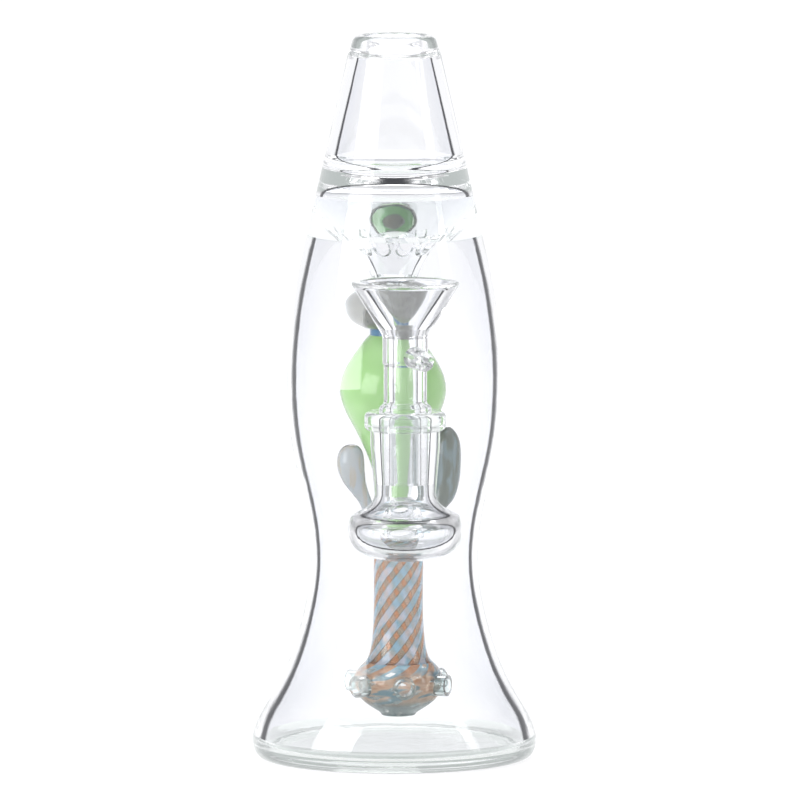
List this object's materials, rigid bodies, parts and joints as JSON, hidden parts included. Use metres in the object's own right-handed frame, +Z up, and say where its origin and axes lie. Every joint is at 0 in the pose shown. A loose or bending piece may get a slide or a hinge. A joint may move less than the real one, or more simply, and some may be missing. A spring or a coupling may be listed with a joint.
{
  "type": "glass water pipe",
  "caption": "Clear blown-glass water pipe with a flared foot, waist and tapering mouthpiece, coloured glass lava shapes inside and a lift-out bowl in a ground joint at the front.",
  "frame": {"origin": "centre of the flat foot, on the surface it stands on", "axes": "+Z up along the vessel towards the mouth; the joint and bowl stand in front, towards -Y"},
  "size_m": [0.0796, 0.0985, 0.203],
  "materials": {
    "vessel_glass": "clear borosilicate, fire polished",
    "shoulder_glass": "thick clear glass with a faint green cast",
    "joint_glass": "clear borosilicate, polished joint",
    "bowl_glass": "clear borosilicate, fire polished",
    "striped_glass": "fumed amber tube with twisted grey-blue and teal stripes",
    "swirled_glass": "copper, teal and grey swirls, glossy",
    "nozzle_glass": "clear, fire polished",
    "green_glass": "milky jade green, glossy",
    "blue_glass": "bright blue, glossy",
    "milky_glass": "pale blue-grey opal, translucent",
    "speckled_glass": "tan with dark speckles",
    "pale_smoke_glass": "pale grey-blue fumed glass",
    "dark_smoke_glass": "smoky grey-green with a pale blue streak"
  },
  "bodies": {
    "vessel": {"base_plate": "vessel_glass", "foot_flare": "vessel_glass", "vessel_waist": "vessel_glass", "vessel_bulge": "vessel_glass", "shoulder_ring": "shoulder_glass", "splash_funnel": "shoulder_glass", "splash_ribs": "shoulder_glass", "mouthpiece_cone": "vessel_glass", "mouthpiece_lip": "vessel_glass", "inlet_weld": "joint_glass", "inlet_bulb": "joint_glass", "joint_socket": "joint_glass", "socket_collar": "joint_glass", "stem_elbow": "joint_glass", "stem_tube": "striped_glass", "diffuser_pod": "swirled_glass", "nozzle_front": "nozzle_glass", "nozzle_front_right": "nozzle_glass", "nozzle_back_right": "nozzle_glass", "nozzle_back": "nozzle_glass", "nozzle_back_left": "nozzle_glass", "nozzle_front_left": "nozzle_glass", "lava_blob": "green_glass", "lava_neck_band": "blue_glass", "lava_cap": "milky_glass", "lava_cap_core": "speckled_glass", "lava_drop_left": "pale_smoke_glass", "lava_drop_right": "dark_smoke_glass", "drop_weld_left": "joint_glass", "drop_weld_right": "joint_glass"},
    "bowl": {"bowl_cone": "bowl_glass", "bowl_neck": "bowl_glass", "bowl_shoulder": "bowl_glass", "bowl_male_joint": "bowl_glass", "bowl_handle": "bowl_glass"}
  },
  "joints": [
    {"name": "bowl_lift", "type": "slide", "parent": "vessel", "child": "bowl", "axis": [0, 0, 1], "range_m": [0, 0.04]}
  ]
}
